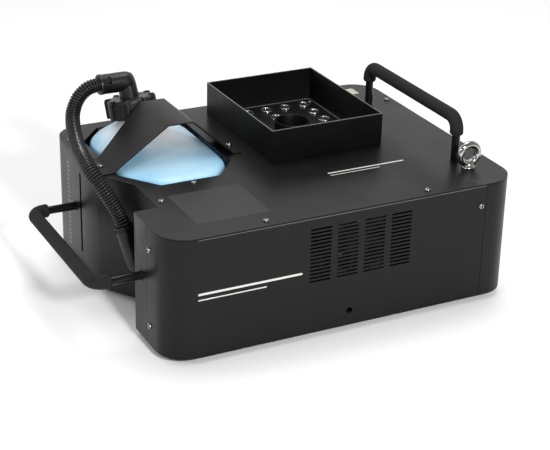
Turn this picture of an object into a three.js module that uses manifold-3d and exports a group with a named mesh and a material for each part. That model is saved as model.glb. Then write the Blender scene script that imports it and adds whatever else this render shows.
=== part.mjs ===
// Upward fog machine: a flat sheet-steel body with a fluid bottle bay at the left, a lamp hood round the fog
// outlet, two foam-gripped carrying handles and a safety eye. Millimetres, +Z up, the front panel faces -Y.
import * as THREE from "three";
import { mergeVertices } from "three/addons/utils/BufferGeometryUtils.js";
import Module from "manifold-3d";

const wasm = await Module();
wasm.setup();

// ---- driving dimensions --------------------------------------------------------------------------------
const W = 445, D = 363, H = 144.5; // body, without feet
const T = 1.5, GAP = 0.3; // sheet thickness, and the play between separate sheets
const R = 35; // plan radius of the four body corners
const FOOT_H = 8;
const NOTCH = { x: 28.5, near: 92, far: 160, wall: 203 }; // hose notch in the left side
const SEAM_X = 400, SEAM_Y = 57; // ends of the front cover
const BAY = [[56, 147.5], [130, 147.5], [160, 183], [160, 312], [134, 345], [52, 345], [22, 309], [22, 193]];
const HOOD = { x0: 200.5, x1: 349.5, y0: 156, y1: 341.5, h: 40 };
const LED = { dx: 26.7, dy: 28.4, z: 142.5, r: 8.4 }; // lamp pitch, lamp plate level, lens rim radius
const OUT = { x: 275, y: 249, r: 22, top: 155 }; // fog outlet collar
const VENT = { x0: 171, z0: 65, cols: 4, rows: 15, dx: 34.3, dz: 4.54, w: 26.6, h: 2.1 };
const GRIP = { y0: 77, y1: 283, out: 55, up: 53, bend: 15, rod: 4.9, foam: 8.4, z: 74, x: 404.5 };
const STRAP = { x: [5, 17.7, 87, 118, 171, 181.5], y0: 199, y1: 249, back: 286, z: 194 };
const NECK = { at: [90, 314, 158], tilt: 12, lean: 5.5, r: 22 }; // tilt to +Y, lean to -X, in degrees
const HOSE = { r: 9, bore: 7.2 };
const SCREW_HEAD = 2.3, REAR_REACH = 7.3; // how far the front screw and the fuse cap stand out
const EYE = { x: 406, y: 50, z: 162, ring: 12, wire: 4.4 };

// ---- solids --------------------------------------------------------------------------------------------
function solid(g) {
  const bare = new THREE.BufferGeometry();
  bare.setAttribute("position", (g.index ? g.toNonIndexed() : g).getAttribute("position"));
  const m = mergeVertices(bare, 1e-4);
  return new wasm.Manifold(new wasm.Mesh({
    numProp: 3, vertProperties: m.attributes.position.array, triVerts: new Uint32Array(m.index.array),
  }));
}
const join = (...s) => wasm.Manifold.union(s);
const cut = (a, ...s) => a.subtract(join(...s));
const slab = (x0, x1, y0, y1, z0, z1) =>
  solid(new THREE.BoxGeometry(x1 - x0, y1 - y0, z1 - z0)
    .translate((x0 + x1) / 2, (y0 + y1) / 2, (z0 + z1) / 2));

function shapeOf(pts, holes = []) {
  const v = (p) => p.map(([x, y]) => new THREE.Vector2(x, y));
  const s = new THREE.Shape(v(pts));
  s.holes = holes.map((h) => new THREE.Path(v(h)));
  return s;
}
// A polygon in plan, with holes, from z0 to z1.
const prism = (pts, z0, z1, holes) =>
  solid(new THREE.ExtrudeGeometry(shapeOf(pts, holes), { depth: z1 - z0, bevelEnabled: false })
    .translate(0, 0, z0));
// A polygon drawn as [x, z], from y0 to y1.
const prismY = (pts, y0, y1, holes) => prism(pts, -y1, -y0, holes).rotate([90, 0, 0]);
// A polygon drawn as [y, z], from x0 to x1.
const prismX = (pts, x0, x1) => prism(pts, x0, x1).rotate([90, 0, 90]);

function arc(cx, cy, r, a0, a1, n = 8) {
  return Array.from({ length: n + 1 }, (_, i) => {
    const a = THREE.MathUtils.degToRad(a0 + ((a1 - a0) * i) / n);
    return [cx + r * Math.cos(a), cy + r * Math.sin(a)];
  });
}
const ring = (cx, cy, r, n = 12) => arc(cx, cy, r, 0, 360, n).slice(0, n);

// The points moved to their left by d; a closed run wraps round.
function offset(pts, d, closed) {
  const n = pts.length;
  const normal = (a, b) => {
    const l = Math.hypot(b[0] - a[0], b[1] - a[1]);
    return [-(b[1] - a[1]) / l, (b[0] - a[0]) / l];
  };
  return pts.map((p, i) => {
    const before = i > 0 || closed ? normal(pts[(i + n - 1) % n], p) : null;
    const after = i < n - 1 || closed ? normal(p, pts[(i + 1) % n]) : null;
    const a = before || after, b = after || before;
    const k = d / (1 + a[0] * b[0] + a[1] * b[1]);
    return [p[0] + (a[0] + b[0]) * k, p[1] + (a[1] + b[1]) * k];
  });
}
// A sheet that stands on a run of plan points and is t thick to the left of it.
const sheet = (pts, t, z0, z1) => prism([...pts, ...offset(pts, t).reverse()], z0, z1);

// Rings of points joined into one closed skin, with flat ends.
function skin(rings) {
  const n = rings[0].length, pos = [];
  const tri = (a, b, c) => pos.push(...a, ...b, ...c);
  for (let k = 0; k + 1 < rings.length; k++)
    for (let i = 0; i < n; i++) {
      const j = (i + 1) % n, [p, q] = [rings[k], rings[k + 1]];
      tri(p[i], p[j], q[j]);
      tri(p[i], q[j], q[i]);
    }
  const last = rings[rings.length - 1];
  for (let i = 1; i + 1 < n; i++) {
    tri(rings[0][0], rings[0][i + 1], rings[0][i]);
    tri(last[0], last[i], last[i + 1]);
  }
  return solid(new THREE.BufferGeometry().setAttribute("position", new THREE.Float32BufferAttribute(pos, 3)));
}
// A solid of revolution about Z from [radius, z] pairs that rise.
const turned = (profile, n = 24) =>
  skin(profile.map(([r, z]) => ring(0, 0, r, n).map(([x, y]) => [x, y, z])));
// A solid that lay along Z, laid along the direction from a to b and moved to a.
function along(s, a, b) {
  const d = new THREE.Vector3(...b).sub(new THREE.Vector3(...a)).normalize();
  const q = new THREE.Quaternion().setFromUnitVectors(new THREE.Vector3(0, 0, 1), d);
  const place = new THREE.Matrix4().compose(new THREE.Vector3(...a), q, new THREE.Vector3(1, 1, 1));
  return s.transform(place.elements);
}
function rod(a, b, r, n = 16) {
  const l = Math.hypot(b[0] - a[0], b[1] - a[1], b[2] - a[2]);
  return along(turned([[r, 0], [r, l]], n), a, b);
}
// A round bar of radius r that follows 3-D points.
function sweep(pts, r, n = 12) {
  const v = pts.map((p) => new THREE.Vector3(...p)), last = v.length - 1;
  const dir = v.map((_, i) => v[Math.min(i + 1, last)].clone().sub(v[Math.max(i - 1, 0)]).normalize());
  let up = new THREE.Vector3(0, 0, 1).cross(dir[0]);
  if (up.length() < 0.1) up = new THREE.Vector3(1, 0, 0);
  up.normalize();
  const rings = v.map((p, i) => {
    up.addScaledVector(dir[i], -up.dot(dir[i])).normalize();
    const side = dir[i].clone().cross(up);
    return ring(0, 0, r, n)
      .map(([a, b]) => p.clone().addScaledVector(up, a).addScaledVector(side, b).toArray());
  });
  return skin(rings);
}
const smooth = (pts, n) =>
  new THREE.CatmullRomCurve3(pts.map((p) => new THREE.Vector3(...p)), false, "centripetal")
    .getPoints(n).map((p) => p.toArray());

// ---- the group -----------------------------------------------------------------------------------------
const root = new THREE.Group();
root.name = "fog_machine";
const finish = (color, metalness = 0.2, roughness = 0.6) =>
  new THREE.MeshStandardMaterial({ color, metalness, roughness, flatShading: true });
const LOOK = {
  coat: finish(0x3a3a39, 0.3, 0.55), dark: finish(0x161616, 0.2, 0.7), black: finish(0x0c0c0d, 0.1, 0.35),
  foam: finish(0x1b1b1c, 0, 0.95), chrome: finish(0xcfd3d8, 1, 0.15), zinc: finish(0xa9adb0, 0.9, 0.35),
  alu: finish(0x9a9da0, 0.9, 0.45), brass: finish(0xb8913f, 0.9, 0.3), copper: finish(0xb06a42, 0.9, 0.35),
  bottle: finish(0xdfeef6, 0, 0.3), board: finish(0x1d5a35, 0.1, 0.5), lens: finish(0xe8eef2, 0, 0.1),
  rubber: finish(0x141414, 0, 0.9),
};
function add(name, s, look) {
  const m = s.getMesh();
  const g = new THREE.BufferGeometry();
  g.setAttribute("position", new THREE.Float32BufferAttribute(m.vertProperties, 3));
  g.setIndex([...m.triVerts]);
  g.computeVertexNormals();
  const mesh = new THREE.Mesh(g, look);
  mesh.name = name;
  root.add(mesh);
}

// ---- body sheets ---------------------------------------------------------------------------------------
const CORNER = {
  nearLeft: arc(R, R, R, 180, 270), nearRight: arc(W - R, R, R, 270, 360),
  farRight: arc(W - R, D - R, R, 0, 90), farLeft: arc(R, D - R, R, 90, 180),
};
const NOTCH_RUN = [[0, NOTCH.wall], [NOTCH.x, NOTCH.far], [NOTCH.x, NOTCH.near], [0, NOTCH.near]];
const OUTLINE = [
  ...CORNER.nearLeft, ...CORNER.nearRight, ...CORNER.farRight, ...CORNER.farLeft, ...NOTCH_RUN,
];
const WALL_Z0 = T + GAP, WALL_Z1 = H - T - GAP; // covers stand between the pan and the top plate
const FLANGE = 12;

// Screw places: [x, y] on the top plate and the strap, [y, z] on the left side, [x, z] on the front.
const SCREWS = {
  top: [[122, 12.5], [327, 12.5], [38.4, 106.5], [92.7, 139.5], [436, 290], [8, 318]],
  strap: [[11.2, 224], [176.4, 224]],
  left: [[50, 116.6], [50, 24]],
  front: [[394, 117.7]],
};
const bore = (a, b, r = 2.3) => rod(a, b, r, 8);

function coverWalls(run, flange = FLANGE) {
  return join(sheet(run, T, WALL_Z0, WALL_Z1), sheet(run, flange, WALL_Z1 - T, WALL_Z1));
}
function basePan() {
  const rim = offset(OUTLINE, T + GAP, true);
  const plate = prism(OUTLINE, 0, T, FEET.map(([x, y]) => ring(x, y, 2.6, 8)));
  return join(plate, prism(rim, T - 0.1, 16, [offset(rim, T, true)]));
}
function frontCover() {
  const slots = [];
  for (let c = 0; c < VENT.cols; c++)
    for (let r = 0; r < VENT.rows; r++) {
      const x = VENT.x0 + c * VENT.dx, z = VENT.z0 + r * VENT.dz;
      slots.push(slab(x, x + VENT.w, -1, T + 1, z - VENT.h / 2, z + VENT.h / 2));
    }
  const holes = [
    ...SCREWS.top.slice(0, 2).map(([x, y]) => bore([x, y, H - 9], [x, y, H])),
    ...SCREWS.left.map(([y, z]) => bore([-1, y, z], [9, y, z])),
    ...SCREWS.front.map(([x, z]) => bore([x, -1, z], [x, 9, z])),
    rod([224, -1, 18.5], [224, T + 4, 18.5], 4, 16),
  ];
  return cut(coverWalls([[0, SEAM_Y], ...CORNER.nearLeft, [SEAM_X, 0]]), ...slots, ...holes);
}
function rightCover() {
  const run = [[SEAM_X + 0.5, 0], ...CORNER.nearRight, ...CORNER.farRight, [SEAM_X + 0.5, D]];
  return cut(
    coverWalls(run),
    bore([436, 290, H - 9], [436, 290, H]),
  );
}
function tankWall() {
  const run = [[61.7, D], ...CORNER.farLeft, ...NOTCH_RUN, [0, SEAM_Y + 0.5]];
  return cut(
    coverWalls(run, 8),
    slab(-1, T + 1, 260.8, 266.2, 21, 124), // fluid level slot
    bore([8, 318, H - 9], [8, 318, H]),
    bore([11.2, 224, H - 9], [11.2, 224, H]),
    ...[GRIP.y0, GRIP.y1].map((y) => rod([-1, y, GRIP.z], [T + 1, y, GRIP.z], GRIP.rod + GAP, 16)),
    rod([NOTCH.x - 1, 143, 50], [NOTCH.x + T + 1, 143, 50], 8.4, 16),
  );
}
function rearCover() {
  return cut(
    coverWalls([[SEAM_X, D], [62.2, D]]),
    slab(192, 278, D - T - 1, D + 1, 74, 116), // control panel
    slab(INLET.x - 14, INLET.x + 14, D - T - 1, D + 1, INLET.z - 10.2, INLET.z + 10.2),
    slab(ROCKER.x - 7.6, ROCKER.x + 7.6, D - T - 1, D + 1, ROCKER.z - 12.6, ROCKER.z + 12.6),
    rod([FUSE.x, D - T - 1, FUSE.z], [FUSE.x, D + 1, FUSE.z], 6.6, 16),
    ...DMX_X.map((x) => rod([x, D - T - 1, DMX_Z], [x, D + 1, DMX_Z], 11.6, 20)),
  );
}
function topPlate() {
  const holes = [
    BAY,
    [[203, 158.5], [347, 158.5], [347, 339], [203, 339]],
    ...[...SCREWS.top, ...SCREWS.strap].map(([x, y]) => ring(x, y, 2.3, 8)),
    ...[GRIP.y0, GRIP.y1].map((y) => ring(GRIP.x, y, GRIP.rod + GAP, 16)),
    ring(EYE.x, EYE.y, 4.3, 12),
  ];
  return prism(OUTLINE, H - T, H, holes);
}
function bayPartition() {
  const run = [[40, 141], [168, 141], [168, D - 6]];
  return join(sheet(run, T, WALL_Z0 + 0.2, 138), sheet(run, 9, WALL_Z0 + 0.2, WALL_Z0 + 0.2 + T));
}
const FEET = [[42, 38], [W - 42, 38], [W - 42, D - 38], [52, D - 38]];
function foot() {
  const body = turned([[9, -FOOT_H], [10.6, -FOOT_H + 1], [12, -GAP]], 14);
  return cut(body, turned([[5.2, -FOOT_H - 1], [5.2, -3]], 10), turned([[2.4, -5], [2.4, 1]], 8));
}

// ---- fluid: bottle, cap, hose, pump --------------------------------------------------------------------
const NECK_PLACE = new THREE.Matrix4().makeTranslation(...NECK.at)
  .multiply(new THREE.Matrix4().makeRotationY(-THREE.MathUtils.degToRad(NECK.lean)))
  .multiply(new THREE.Matrix4().makeRotationX(-THREE.MathUtils.degToRad(NECK.tilt)));
// A solid built along Z about the neck's base.
const necked = (s) => s.transform(NECK_PLACE.elements);
// How the bottle's shoulders rise: the part of the way in from the wall to the neck, and the height there.
const SHOULDER = [[0.02, 140], [0.06, 143.5], [0.12, 146], [0.25, 149], [0.5, 153], [0.75, 156], [0.92, 157.6]];
function bottleSkin(inset, z0, neckR) {
  const corners = offset(BAY, 3.5 + inset, true), count = 28;
  const around = new THREE.CatmullRomCurve3(
    corners.map(([x, y]) => new THREE.Vector3(x, y, 0)), true, "catmullrom", 0.18).getSpacedPoints(count)
    .slice(0, count).map((p) => [p.x, p.y]);
  const [cx, cy] = NECK.at;
  const neckAt = (a, r, t) =>
    new THREE.Vector3(r * Math.cos(a), r * Math.sin(a), t).applyMatrix4(NECK_PLACE).toArray();
  const level = (d, z) => around.map(([x, y]) => {
    const l = Math.hypot(x - 91, y - 246);
    return [x - ((x - 91) / l) * d, y - ((y - 246) / l) * d, z];
  });
  const rings = [level(7, z0), level(0, z0 + 7), level(0, 136 - inset)];
  for (const [s, z] of SHOULDER) {
    rings.push(around.map(([x, y]) => {
      const n = neckAt(Math.atan2(y - cy, x - cx), neckR, 0);
      return [x + (n[0] - x) * s, y + (n[1] - y) * s, z - inset + (n[2] - NECK.at[2]) * s];
    }));
  }
  for (const t of [0, inset ? 40 : 26])
    rings.push(around.map(([x, y]) => neckAt(Math.atan2(y - cy, x - cx), neckR, t)));
  return skin(rings);
}
const fluidBottle = () => cut(bottleSkin(0, T + 0.5, NECK.r), bottleSkin(1.6, T + 2.6, NECK.r - 2));
function bottleCap() {
  const lugs = Array.from({ length: 8 }, (_, i) => slab(25, 32, -2.2, 2.2, 5.5, 32.6).rotate([0, 0, i * 45 + 18]));
  const shell = join(turned([[28, 5], [28.4, 6], [28.4, 29], [26.4, 31.2]], 32), ...lugs);
  const inside = turned([[NECK.r + 0.6, 4], [NECK.r + 0.6, 29.6]], 24);
  return necked(cut(shell, inside, turned([[10.2, 28], [10.2, 36]], 20)));
}
function capElbow() {
  const [, y, z] = HOSE_RUN[0]; // the barrel lies along X where the hose starts
  const riser = turned([[9.6, 18], [9.6, 32], [11.8, 33], [11.4, 46], [10.4, 53], [8.2, 59], [5, 61.5]], 20);
  const hub = necked(join(riser, turned([[20, 27], [20, 29.2]], 24)));
  const barrel = join(rod([48.6, y, z], [86, y, z], 12.2, 20), rod([85, y, z], [90, y, z], 10.4, 20));
  const inner = join(rod([40, y, z], [88, y, z], 6.4, 12), necked(turned([[6, 10], [6, 50]], 12)));
  return cut(join(hub, barrel), inner, rod([40, y, z], [62, y, z], HOSE.r + GAP, 20));
}
const HOSE_RUN = [
  [60, 324.6, 207.9], [47, 324.6, 207.9], [35, 324.2, 205.5], [22, 321.5, 196.5], [12, 314, 183], [6, 299, 172],
  [0, 275, 165.5], [-6, 245, 161.5], [-9.5, 216, 158.5], [-9.2, 197, 152], [-2, 183, 138.5], [5, 174.5, 123.5],
  [11.3, 165.8, 108.6], [14, 160.6, 99.6], [15, 158.1, 92.6], [15.6, 156.4, 88],
];
function fluidHose() {
  const run = smooth(HOSE_RUN, 28);
  return cut(sweep(run, HOSE.r, 10), sweep([[70, 324.6, 207.9], ...run, [17, 153, 80]], HOSE.bore, 8));
}
function hoseBoot() {
  const a = [14.6, 159.3, 96], b = [17.4, 151.5, 74], c = [19.4, 145.8, 57];
  const body = join(along(turned([[11.6, 0], [11.6, 8], [10, 22], [8.4, 42]], 16), a, c),
    sweep([c, [21, 144, 52], [24, 143, 50], [36, 143, 50]], 8, 12));
  return cut(body, rod([12.4, 165.3, 113], b, HOSE.r + 0.6, 16), rod(b, c, 5, 10),
    sweep([[18.6, 148, 64], c, [21, 144, 52], [24, 143, 50], [40, 143, 50]], 5, 8));
}
function pickupTube() { // hangs from the elbow to the strainer at the bottle's floor
  const top = [90, 316.6, 171], low = [90, 300, 22];
  return cut(join(sweep([top, [90, 312, 150], [90, 304, 90], low], 3.6, 10),
    rod([90, 300, 7], [90, 300, 24], 9, 16)),
  sweep([[90, 318, 178], top, [90, 312, 150], [90, 304, 90], [90, 300, 18]], 2.2, 8));
}
const PUMP = { x: 92, y: 88, z: 44, r: 19 };
function pump() {
  const { x, y, z, r } = PUMP;
  const coil = slab(x - 22, x + 18, y - 23, y + 23, z - 18, z + 18);
  const ports = [rod([x - 46, y, z], [x - 30, y, z], 5, 12), rod([x + 24, y, z], [x + 44, y, z], 4.4, 12)];
  const base = slab(x - 26, x + 22, y - 26, y + 26, WALL_Z0, WALL_Z0 + 2.4);
  const legs = [x - 26, x + 18].map((leg) => slab(leg, leg + 4, y - 14, y + 14, 3, z));
  return join(rod([x - 32, y, z], [x + 26, y, z], r, 24), coil, ...ports, base, ...legs);
}
function pressurePipe() { // from the pump to the heater's side
  const run = [[136.6, 88, 44], [160, 90, 44], [196, 120, 52], [212, 180, 66], [220, 208, 72], [231.6, 214, 72]];
  return sweep(smooth(run, 14), 2.6, 8);
}

// ---- heat, fog outlet and lamps ------------------------------------------------------------------------
const HEAT = { x0: 233, x1: 317, y0: 205, y1: 293, z0: 44, z1: 104 };
function heaterBlock() {
  const { x0, x1, y0, y1, z0, z1 } = HEAT, grooves = [];
  for (let y = y0 + 10; y < y1 - 6; y += 11) grooves.push(slab(x0 - 1, x1 + 1, y, y + 4, z1 - 10, z1 + 1));
  return join(cut(slab(x0, x1, y0, y1, z0, z1), ...grooves),
    slab(OUT.x - 14, OUT.x + 14, OUT.y - 14, OUT.y + 14, z1 - 12, z1 + 4));
}
function heaterBracket() { // a folded stand: two legs with feet under one deck
  const { x0, x1, y0, y1, z0 } = HEAT, z1 = z0 - GAP;
  const run = [[x0 - 8, WALL_Z0], [x0 + 6, WALL_Z0], [x0 + 6, z1 - 2], [x1 - 6, z1 - 2], [x1 - 6, WALL_Z0],
    [x1 + 8, WALL_Z0]];
  return prismY([...run, ...offset(run, 2).reverse()], y0 - 4, y1 + 4);
}
function nozzle() {
  const body = join(turned([[7, 0], [7, 18], [5, 24]], 16), turned([[11, 0], [11, 6]], 6));
  return cut(body, turned([[2.4, -1], [2.4, 30]], 10)).translate([OUT.x, OUT.y, HEAT.z1 + 4.3]);
}
function outletCollar() {
  return cut(turned([[27, 138.6], [27, 140.4], [OUT.r, 140.5], [OUT.r, OUT.top]], 32),
    turned([[OUT.r - 2, 137], [OUT.r - 2, OUT.top + 1]], 32)).translate([OUT.x, OUT.y, 0]);
}
// The outer two lamp columns and rows, and one lamp before and one behind the outlet.
const LAMPS = [];
for (let i = -2; i <= 2; i++)
  for (let j = -2.5; j <= 2.5; j++)
    if (Math.abs(i) === 2 || Math.abs(j) === 2.5 || (i === 0 && Math.abs(j) === 1.5))
      LAMPS.push([OUT.x + i * LED.dx, OUT.y + j * LED.dy]);
function lampPlate() {
  const tray = [[203.6, 159.1], [346.4, 159.1], [346.4, 338.4], [203.6, 338.4]];
  const holes = [ring(OUT.x, OUT.y, OUT.r + GAP, 32)];
  const rim = turned([[LED.r, LED.z - 1], [LED.r - 0.4, LED.z + 2]], 10);
  const bores = LAMPS.map(([x, y]) => rod([x, y, LED.z - 4], [x, y, LED.z + 4], LED.r - 1.6, 8));
  const sheets = join(prism(tray, LED.z - T, LED.z, holes),
    prism(tray, LED.z - T, LED.z + 4.5, [offset(tray, 1.2, true)]));
  return cut(join(sheets, ...LAMPS.map(([x, y]) => rim.translate([x, y, 0]))), ...bores);
}
function lensArray() {
  const plate = [[210, 166], [340, 166], [340, 332], [210, 332]];
  const domes = LAMPS.map(([x, y]) => turned([[6.2, 134], [6.2, 143], [4.4, 144]], 8).translate([x, y, 0]));
  return join(prism(plate, 132.6, 135, [ring(OUT.x, OUT.y, 30, 24)]), ...domes);
}
function hood() {
  const { x0, x1, y0, y1, h } = HOOD, run = [[x0, y0], [x1, y0], [x1, y1], [x0, y1]];
  return join(prism(run, H, H + h, [offset(run, T, true)]), prism(run, H, H + T, [offset(run, 2.2, true)]))
    .translate([0, 0, GAP / 2]);
}

// ---- strap, handles, eye -------------------------------------------------------------------------------
function bottleStrap() {
  const [a, b, c, d, e, f] = STRAP.x, z = H + GAP / 2 + T;
  const top = [[a, z], [b, z], [c, STRAP.z], [d, STRAP.z], [e, z], [f, z]].reverse();
  const band = prismY([...top, ...offset(top, T).reverse()].reverse(), STRAP.y0, STRAP.back);
  const plan = [[a, STRAP.y0], [f, STRAP.y0], [f, STRAP.y1], [e, STRAP.y1], [d, STRAP.back], [c, STRAP.back],
    [b, STRAP.y1], [a, STRAP.y1]];
  const bores = SCREWS.strap.map(([x, y]) => bore([x, y, 140], [x, y, 150]));
  return cut(band.intersect(prism(plan, 100, 250)), ...bores);
}
// One handle drawn in the YZ plane, standing up from z = 0 at x = 0 to its reach.
function handlePath(reach, from) {
  const { y0, y1, bend } = GRIP, pts = [[0, y0, from]];
  for (const [y, z] of arc(y0 + bend, reach - bend, bend, 180, 90, 5)) pts.push([0, y, z]);
  for (const [y, z] of arc(y1 - bend, reach - bend, bend, 90, 0, 5)) pts.push([0, y, z]);
  pts.push([0, y1, from]);
  return pts;
}
const handleBar = (reach) => sweep(handlePath(reach, -11), GRIP.rod, 12);
function handleGrip(reach) {
  const run = handlePath(reach, reach - GRIP.bend - 1.5);
  const past = [[0, GRIP.y0, 20], ...run.slice(1, -1), [0, GRIP.y1, 20]];
  return cut(sweep(run, GRIP.foam, 14), sweep(past, GRIP.rod + GAP, 12));
}
const standing = (s) => s.translate([GRIP.x, 0, H]);
const leaning = (s) => s.rotate([0, -90, 0]).translate([0, 0, GRIP.z]);
function safetyEye() {
  const torus = solid(new THREE.TorusGeometry(EYE.ring, EYE.wire, 8, 20).rotateX(Math.PI / 2)
    .translate(EYE.x, EYE.y, EYE.z));
  const collar = turned([[8, H + GAP / 2], [8, H + 2.4], [6.4, H + 3.6], [4.6, H + 7]], 20);
  const stud = rod([EYE.x, EYE.y, H - 14], [EYE.x, EYE.y, H + 2], 4, 12);
  return join(torus, collar.translate([EYE.x, EYE.y, 0]), stud);
}

// ---- cooling fan ---------------------------------------------------------------------------------------
const FAN = { x: 236, y: 4, z: 97, half: 35, deep: 15 };
function fanFrame() {
  const { half, deep } = FAN, sq = [[-half, -half], [half, -half], [half, half], [-half, half]];
  const spokes = [45, 135, 225, 315].map((a) => slab(9, half - 1, -1.6, 1.6, 0, 2.4).rotate([0, 0, a]));
  const s = join(prism(sq, 0, deep, [ring(0, 0, half - 2, 28)]), turned([[13, 0], [13, 2.4]], 20), ...spokes);
  return s.rotate([90, 0, 0]).translate([FAN.x, FAN.y + deep, FAN.z]);
}
function fanRotor() {
  const blades = Array.from({ length: 7 }, (_, i) =>
    slab(11, 31, -0.8, 0.8, -6.2, 6.2).rotate([38, 0, 0]).rotate([0, 0, (i * 360) / 7]));
  const s = join(turned([[14, -5.4], [14, 5], [12.6, 6.2]], 20), ...blades);
  return s.rotate([90, 0, 0]).translate([FAN.x, FAN.y + FAN.deep - 9, FAN.z]);
}

// ---- boards --------------------------------------------------------------------------------------------
function powerBoard() {
  const parts = [slab(192, 222, 68, 98, 11, 40), slab(232, 246, 70, 112, 11, 36), slab(256, 286, 72, 88, 11, 26),
    rod([262, 112, 11], [262, 112, 42], 9, 10), rod([284, 112, 11], [284, 112, 34], 7, 10)];
  const pillars = [[190, 66], [292, 66], [190, 128], [292, 128]]
    .map(([x, y]) => rod([x, y, WALL_Z0], [x, y, 12], 2.6, 8));
  return join(slab(186, 296, 62, 132, 10, 11.6), ...parts, ...pillars);
}
function controlBoard() {
  return join(slab(194, 276, D - 22, D - 20.4, 66, 124), slab(202, 230, D - 30, D - 21.5, 74, 94),
    slab(240, 262, D - 27, D - 21.5, 96, 112));
}

// ---- rear panel fittings -------------------------------------------------------------------------------
const PANEL = { x: 235, z: 95 }, BUTTON_X = [205, 225, 245, 265], BUTTON_Z = 82;
const INLET = { x: 334, z: 40 }, ROCKER = { x: 378, z: 40, tip: 8 }, FUSE = { x: 300, z: 40 };
const DMX_X = [150, 108], DMX_Z = 40;
function controlPanel() {
  const plate = slab(186, 284, D + 0.2, D + 3, 68, 122);
  const boss = slab(193, 277, D - 6, D + 0.4, 75, 115);
  return cut(join(plate, boss), slab(200, 270, D + 1, D + 4, 92, 116),
    ...BUTTON_X.map((x) => rod([x, D - 8, BUTTON_Z], [x, D + 4, BUTTON_Z], 4.5, 16)));
}
function menuButton(x) {
  const stem = rod([x, D - 9, BUTTON_Z], [x, D + 4.2, BUTTON_Z], 4.2, 16);
  return join(stem, rod([x, D - 10.4, BUTTON_Z], [x, D - 7.4, BUTTON_Z], 5.6, 16));
}
function powerInlet() {
  const { x, z } = INLET;
  const at = (pts) => pts.map(([a, b]) => [x + a, z + b]);
  const flange = at([[-24, 0], [-14, -11.5], [14, -11.5], [24, 0], [14, 11.5], [-14, 11.5]]);
  const mouth = at([[-12, -8.2], [12, -8.2], [12, 4], [8, 8.2], [-8, 8.2], [-12, 4]]);
  const shell = join(prismY(flange, D + 0.2, D + 3), slab(x - 13.6, x + 13.6, D - 17, D + 0.4, z - 9.8, z + 9.8));
  const holes = [-19, 19].map((a) => rod([x + a, D - 1, z], [x + a, D + 4, z], 1.7, 8));
  const pins = at([[-7, -1], [0, 3], [7, -1]]).map(([a, b]) => slab(a - 1, a + 1, D - 15, D - 1, b - 2, b + 2));
  return join(cut(shell, prismY(mouth, D - 14, D + 4), ...holes), ...pins);
}
function rockerFrame() {
  const { x, z } = ROCKER;
  const bezel = slab(x - 10.5, x + 10.5, D + 0.2, D + 2.2, z - 15, z + 15);
  const body = slab(x - 7.3, x + 7.3, D - 14, D + 0.4, z - 12.3, z + 12.3);
  return cut(join(bezel, body), slab(x - 6, x + 6, D - 11, D + 4, z - 11, z + 11));
}
function rockerPaddle() { // drawn about its pivot, then tipped against its lower stop
  const side = [[3, 0], [5, -10.2], [0, -10.3], [-4, -6], [-4, 6], [0, 10.3], [5, 10.2]];
  return prismX(side, -5.6, 5.6).rotate([-ROCKER.tip, 0, 0]).translate([ROCKER.x, D - 2, ROCKER.z]);
}
function fuseHolder() {
  const y = D + 0.2, { x, z } = FUSE;
  return cut(join(rod([x, y, z], [x, y + 1.8, z], 8.4, 20), rod([x, D - 22, z], [x, y + 0.2, z], 6.2, 16)),
    rod([x, D - 18, z], [x, y + 4, z], 4.8, 16));
}
function fuseCap() {
  const y = D + REAR_REACH - 5, { x, z } = FUSE;
  return cut(join(rod([x, y, z], [x, y + 5, z], 6.6, 12), rod([x, D - 15, z], [x, y + 0.2, z], 4.3, 12)),
    slab(x - 5, x + 5, y + 3.6, y + 6, z - 0.7, z + 0.7));
}
function dmxSocket(x, male) {
  const z = DMX_Z, y = D + 0.2;
  const plate = slab(x - 13, x + 13, y, y + 2, z - 15.5, z + 15.5);
  const shell = join(plate, rod([x, D - 18, z], [x, y + 3, z], 11.2, 18));
  const pinAt = ring(x, z, 4, 3); // three contacts on a circle
  if (male) {
    const pins = pinAt.map(([a, b]) => rod([a, D - 15, b], [a, D - 1, b], 1.2, 8));
    return join(cut(shell, rod([x, D - 14, z], [x, y + 5, z], 8.6, 18)), ...pins);
  }
  const sockets = pinAt.map(([a, b]) => rod([a, D - 12, b], [a, y + 5, b], 1.4, 8));
  return cut(shell, ...sockets, slab(x - 2.6, x + 2.6, D - 8, y + 5, z + 8.8, z + 11.6));
}
const latchTab = (x) => slab(x - 2.2, x + 2.2, D - 4.6, D + 4.6, DMX_Z + 9.1, DMX_Z + 10.9);

// ---- screws --------------------------------------------------------------------------------------------
function panScrew(at, out) { // head outward along out, shank the other way
  const s = join(turned([[3.6, 0.15], [3.6, 1.2], [2.6, SCREW_HEAD]], 10), turned([[1.8, -6], [1.8, 0.3]], 6));
  return along(s, at, at.map((v, i) => v + out[i]));
}

// ---- assembly ------------------------------------------------------------------------------------------
add("base_pan", basePan(), LOOK.coat);
add("front_cover", frontCover(), LOOK.coat);
add("right_cover", rightCover(), LOOK.coat);
add("rear_cover", rearCover(), LOOK.coat);
add("tank_wall", tankWall(), LOOK.coat);
add("top_plate", topPlate(), LOOK.coat);
add("bay_partition", bayPartition(), LOOK.zinc);
FEET.forEach(([x, y], i) => {
  add(`foot_${i + 1}`, foot().translate([x, y, 0]), LOOK.rubber);
});
add("fluid_bottle", fluidBottle(), LOOK.bottle);
add("bottle_cap", bottleCap(), LOOK.black);
add("cap_elbow", capElbow(), LOOK.black);
add("pickup_tube", pickupTube(), LOOK.lens);
add("fluid_hose", fluidHose(), LOOK.black);
add("hose_boot", hoseBoot(), LOOK.black);
add("pump", pump(), LOOK.dark);
add("pressure_pipe", pressurePipe(), LOOK.copper);
add("heater_block", heaterBlock(), LOOK.alu);
add("heater_bracket", heaterBracket(), LOOK.zinc);
add("fog_nozzle", nozzle(), LOOK.brass);
add("outlet_collar", outletCollar(), LOOK.coat);
add("lamp_plate", lampPlate(), LOOK.coat);
add("lens_array", lensArray(), LOOK.lens);
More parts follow.
